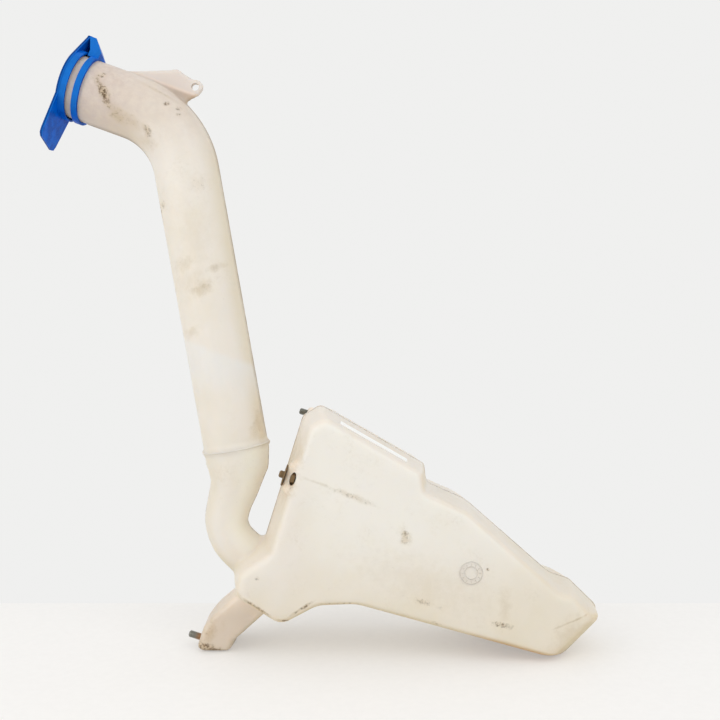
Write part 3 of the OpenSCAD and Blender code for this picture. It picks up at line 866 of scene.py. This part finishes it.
def capPoint(out, across, rise):  # out from the neck's axis, along the hinge, up from the rim
    return rimCentre + toHinge * out + hingeAxis * across + mouthOut * rise


def filmHinge():
    rings = []
    for k in range(13):
        t = k / 12
        rise = hinge["low"] + (hinge["high"] - hinge["low"]) * t
        out = hinge["reach"] + hinge["stand"] + hinge["bow"] * math.sin(math.pi * t)
        ring = []
        for across, step in ((-1, 0), (1, 0), (1, 1), (-1, 1)):
            ring.append(capPoint(out + step * hinge["film"], across * hinge["width"] / 2, rise))
        rings.append(ring)
    return joined("filmHinge", [skin(rings)])


film = filmHinge()
wearFinish(film, capFinish)
smoothShade(film, 40)
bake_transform(film)
print("cap dressed")

# studs: rolled thread outside the plastic
stud = {"radius": 3.0, "pitch": 1.0, "depth": 0.35, "tip": 1.0, "grip": 9, "gripRadius": 3.4,
        "lowerFree": 11, "upperFree": 7}


def threadedRod(seat, axis, start, length):
    turn = axis.to_track_quat("Z", "Y")
    sides, perPitch = 40, 8
    count = int(length / stud["pitch"] * perPitch)
    rings = []
    for k in range(count + 1):
        z = start + length * k / count
        ring = []
        for j in range(sides):
            a = math.tau * j / sides
            phase = (z / stud["pitch"] - j / sides) % 1
            ridge = abs(2 * phase - 1)
            taper = min(1, (start + length - z) / stud["tip"] * 0.55 + 0.45)
            r = (stud["radius"] - stud["depth"] * ridge) * taper ** 0.6
            ring.append(seat + turn @ Vector((r * math.cos(a), r * math.sin(a), z)))
        rings.append(ring)
    return skin(rings)


def metalFinish(name, base, rustColour, rustFrom, rustTo, rootRust=0):
    finish, tree, shader, where = newFinish(name)[:4]
    patch = grain(tree, where, 2.2, 6, 0.75)
    fine = grain(tree, where, 0.5, 4, 0.7)
    rusty = ramp(tree, patch, rustFrom, rustTo)
    colour = tint(tree, rusty, base, rustColour)
    colour = tint(tree, ramp(tree, fine, 0.45, 0.75, 0, 0.4), colour, linear(34, 30, 26))
    if rootRust:
        height = vectorMaths(tree, "DOT_PRODUCT", where, tuple(outward))
        colour = tint(tree, ramp(tree, height, 6.5, 1, 0, rootRust), colour, linear(166, 124, 86))
    feed(tree, shader.inputs["Base Color"], colour)
    feed(tree, shader.inputs["Metallic"], ramp(tree, patch, rustFrom, rustTo, 0.75, 0.1))
    feed(tree, shader.inputs["Roughness"], ramp(tree, patch, rustFrom, rustTo, 0.42, 0.85))
    feed(tree, shader.inputs["Normal"], bumps(tree, fine, 0.35, 0.2))
    return finish


zincFinish = metalFinish("dullZinc", linear(128, 128, 120), linear(128, 84, 48), 0.6, 0.76)
rootFinish = metalFinish("zincRustyRoot", linear(140, 140, 132), linear(128, 84, 48), 0.6, 0.76, 0.9)
rustFinish = metalFinish("brownRust", linear(126, 110, 84), linear(130, 102, 66), 0.35, 0.6)
for nodeName, pieceName, seat, free, finish in (
        ("lower_stud", "lowerStud", lowerSeat, stud["lowerFree"], rootFinish),
        ("upper_stud", "upperStud", upperSeat, stud["upperFree"], zincFinish)):
    grip = rod(seat - outward * stud["grip"], seat + outward * 0.2, stud["gripRadius"], 40)
    piece = joined(pieceName, [grip, threadedRod(seat, outward, 0.1, free - 0.1)])
    wearFinish(piece, finish)
    smoothShade(piece, 40)
    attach(piece, "tank")
    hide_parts(nodeName)
for nodeName in ("middle_bolt", "retaining_washer"):
    wearFinish(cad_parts[nodeName], rustFinish)
    bevelEdges(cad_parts[nodeName], 0.3, 2)


def rubberFinish():
    finish, tree, shader, where = newFinish("blackRubber")[:4]
    fine = grain(tree, where, 1.2, 5, 0.7)
    dust = ramp(tree, grain(tree, where, 8, 5, 0.7), 0.5, 0.75, 0, 0.5)
    feed(tree, shader.inputs["Base Color"], tint(tree, dust, linear(28, 28, 28), linear(92, 88, 80)))
    feed(tree, shader.inputs["Roughness"], ramp(tree, fine, 0.3, 0.7, 0.55, 0.8))
    feed(tree, shader.inputs["Normal"], bumps(tree, fine, 0.2, 0.2))
    return finish


wearFinish(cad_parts["pump_grommet"], rubberFinish())
bevelEdges(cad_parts["pump_grommet"], 0.4, 3)
print("fixings and grommet dressed")

# blank sticker on the sloping deck
sticker = {"from": 22, "to": 86, "near": -30, "far": -17, "thick": 0.2, "lift": 0.3}


def deckPoint(distance, y, lift):
    a, b = (np.array(tankCorners[i][:2], float) for i in (1, 2))
    u = unit(b - a)
    inset = edgeInset(tankCorners[1], abs(y - partingY), tank["depth"] / 2)
    p = a + distance * u + (inset - lift) * rightOf(u)
    return p[0], y, p[1]


def stickerSheet():
    rows, columns = 24, 14
    rings = []
    for i in range(rows + 1):
        s = sticker["from"] + (sticker["to"] - sticker["from"]) * i / rows
        ys = np.linspace(sticker["near"], sticker["far"], columns + 1).tolist()
        top = [deckPoint(s, y, sticker["lift"] + sticker["thick"]) for y in ys]
        low = [deckPoint(s, y, -0.3) for y in reversed(ys)]
        rings.append(top + low)
    return joined("blankSticker", [skin(rings)])


def paperFinish():
    finish, tree, shader, where = newFinish("whitePaper")[:4]
    fine = grain(tree, where, 1.5, 5, 0.7)
    grime = ramp(tree, grain(tree, where, 12, 5, 0.7), 0.52, 0.78, 0, 0.35)
    feed(tree, shader.inputs["Base Color"], tint(tree, grime, linear(250, 250, 248), linear(214, 206, 190)))
    feed(tree, shader.inputs["Roughness"], ramp(tree, fine, 0.3, 0.7, 0.35, 0.5))
    feed(tree, shader.inputs["Normal"], bumps(tree, fine, 0.08, 0.2))
    return finish


label = stickerSheet()
wearFinish(label, paperFinish())
smoothShade(label, 40)
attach(label, "tank")
print("sticker laid")

# stage: pale floor, soft light and the camera at the picture's place
stage = {"floorBack": 0.125, "floorLift": 0.4, "key": 9.5, "fill": 7.5, "world": 0.84, "wallGrey": 0.87}


def seenDirectly(tree):  # one for what the eye, a mirror or glass sees
    paths = tree.nodes.new("ShaderNodeLightPath")
    either = maths(tree, "MAXIMUM", paths.outputs["Is Camera Ray"], paths.outputs["Is Glossy Ray"])
    return maths(tree, "MAXIMUM", either, paths.outputs["Is Transmission Ray"])


def floorFinish():
    finish, tree, shader, where = newFinish("paleFloor")[:4]
    fine = grain(tree, where, 6, 4, 0.6)
    feed(tree, shader.inputs["Base Color"], tint(tree, ramp(tree, fine, 0.3, 0.7), linear(247, 246, 244),
                                                 linear(244, 243, 241)))
    shader.inputs["Roughness"].default_value = 0.6
    lift = tree.nodes.new("ShaderNodeEmission")  # lightens shadows on the floor, not the part
    lift.inputs["Color"].default_value = linear(243, 241, 238)
    mix = tree.nodes.new("ShaderNodeMixShader")
    tree.links.new(maths(tree, "MULTIPLY", seenDirectly(tree), stage["floorLift"]), mix.inputs[0])
    tree.links.new(shader.outputs[0], mix.inputs[1])
    tree.links.new(lift.outputs[0], mix.inputs[2])
    tree.links.new(mix.outputs[0], tree.nodes["Material Output"].inputs["Surface"])
    return finish


floorZ = ground * mm
floorMesh = bpy.data.meshes.new("floor")
floorMesh.from_pydata([(-3, -3, floorZ), (3.3, -3, floorZ), (3.3, stage["floorBack"], floorZ),
                       (-3, stage["floorBack"], floorZ)], [], [[0, 1, 2, 3]])
floor = bpy.data.objects.new("floor", floorMesh)
scene.collection.objects.link(floor)
wearFinish(floor, floorFinish())

world = bpy.data.worlds.new("studio")
scene.world = world
world.use_nodes = True
sky = world.node_tree
sky.nodes.clear()
lit = sky.nodes.new("ShaderNodeBackground")
lit.inputs["Color"].default_value = (1, 1, 1, 1)
lit.inputs["Strength"].default_value = stage["world"]
seen = sky.nodes.new("ShaderNodeBackground")
seen.inputs["Color"].default_value = (stage["wallGrey"], stage["wallGrey"], stage["wallGrey"] * 0.99, 1)
seen.inputs["Strength"].default_value = 1
blendSky = sky.nodes.new("ShaderNodeMixShader")
sky.links.new(seenDirectly(sky), blendSky.inputs[0])
sky.links.new(lit.outputs[0], blendSky.inputs[1])
sky.links.new(seen.outputs[0], blendSky.inputs[2])
skyOut = sky.nodes.new("ShaderNodeOutputWorld")
sky.links.new(blendSky.outputs[0], skyOut.inputs[0])


def softLamp(name, place, aim, size, power):
    lamp = bpy.data.lights.new(name, "AREA")
    lamp.shape = "SQUARE"
    lamp.size = size
    lamp.energy = power
    holder = bpy.data.objects.new(name, lamp)
    scene.collection.objects.link(holder)
    holder.location = place
    holder.rotation_euler = (Vector(aim) - Vector(place)).to_track_quat("-Z", "Y").to_euler()
    return holder


softLamp("keyLamp", (1.1, -1.3, 1.7), (0.12, 0, 0.2), 1.6, stage["key"])
softLamp("fillLamp", (-1.2, -1.0, 0.9), (0.12, 0, 0.2), 1.4, stage["fill"])

view = {"place": (0.1375, -0.773, 0.262), "down": 1.62, "focalPixels": 900, "pixels": 720}
lens = bpy.data.cameras.new("photoCamera")
lens.sensor_fit = "HORIZONTAL"
lens.sensor_width = 36
lens.lens = 36 * view["focalPixels"] / view["pixels"]
lens.clip_start = 0.01
camera = bpy.data.objects.new("photoCamera", lens)
scene.collection.objects.link(camera)
camera.matrix_world = (Matrix.Translation(view["place"])
                       @ Matrix.Rotation(math.radians(90 - view["down"]), 4, "X"))
scene.camera = camera
scene.view_settings.view_transform = "Standard"
print("stage set")
